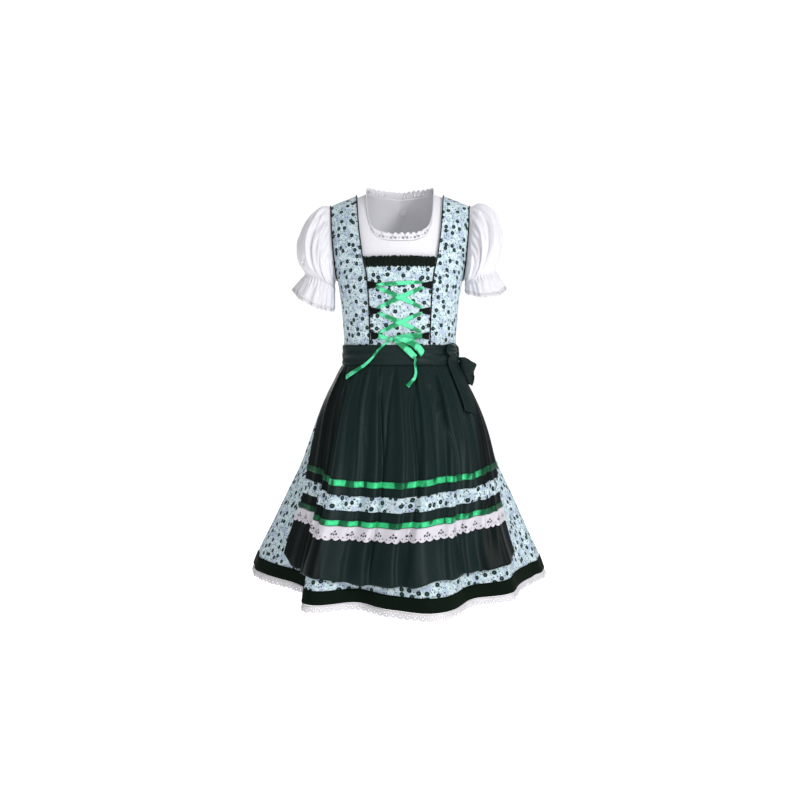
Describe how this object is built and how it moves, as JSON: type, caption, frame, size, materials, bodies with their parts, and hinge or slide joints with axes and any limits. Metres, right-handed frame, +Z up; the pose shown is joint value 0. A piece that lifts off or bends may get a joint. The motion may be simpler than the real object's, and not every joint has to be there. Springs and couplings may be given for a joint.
{
  "type": "dirndl dress with blouse and apron, child's size, as worn",
  "caption": "Hollow short-sleeved dirndl dress with puff-sleeved blouse, laced bodice, full knee-length skirt and side-tied apron, in the pose it has when worn.",
  "frame": {"origin": "midway between the shoulders, at the height where the straps rest on them", "axes": "+Z up, the front faces -Y, +X is the wearer's left"},
  "size_m": [0.6186, 0.5448, 0.8289],
  "materials": {
    "print": "printed cotton, matt",
    "taffeta": "woven taffeta, slight sheen",
    "hem_band": "woven cotton, matt",
    "front_band": "ruched satin, slight sheen",
    "piping": "cotton cord, matt",
    "satin": "satin ribbon, glossy",
    "metallic_ribbon": "woven ribbon with a metallic thread",
    "cotton": "plain cotton, matt",
    "lace": "cotton lace, matt"
  },
  "bodies": {
    "root": {"blouse_front": "cotton", "blouse_back": "cotton", "neck_label": "cotton", "sleeve_left": "cotton", "sleeve_right": "cotton", "neck_lace": "lace", "cuff_lace_left": "lace", "cuff_lace_right": "lace", "hem_lace_front": "lace", "hem_lace_back": "lace", "apron_lace": "lace", "bodice_side_left": "print", "bodice_side_right": "print", "bodice_centre_front": "print", "bodice_back": "print", "skirt_front": "print", "skirt_back": "print", "apron_print_band": "print", "front_band": "front_band", "neckline_piping_left": "piping", "neckline_piping_right": "piping", "armhole_piping_left": "piping", "armhole_piping_right": "piping", "lacing_loop_left_1": "piping", "lacing_loop_left_2": "piping", "lacing_loop_left_3": "piping", "lacing_loop_right_1": "piping", "lacing_loop_right_2": "piping", "lacing_loop_right_3": "piping", "hem_band_front": "hem_band", "hem_band_back": "hem_band", "apron": "taffeta", "apron_waistband": "taffeta", "apron_tie_back": "taffeta", "apron_tie_front": "taffeta", "tie_knot": "taffeta", "tie_tail": "taffeta", "tie_loop": "taffeta", "apron_ribbon_upper": "metallic_ribbon", "apron_ribbon_lower": "metallic_ribbon", "lacing_bar_top": "satin", "lacing_cross_1a": "satin", "lacing_cross_1b": "satin", "lacing_cross_2a": "satin", "lacing_cross_2b": "satin", "lacing_end_right": "satin", "lacing_end_left": "satin", "bow_knot": "satin", "bow_loop_lower": "satin", "bow_loop_upper": "satin", "bow_tail_left": "satin", "bow_tail_right": "satin"}
  },
  "joints": []
}
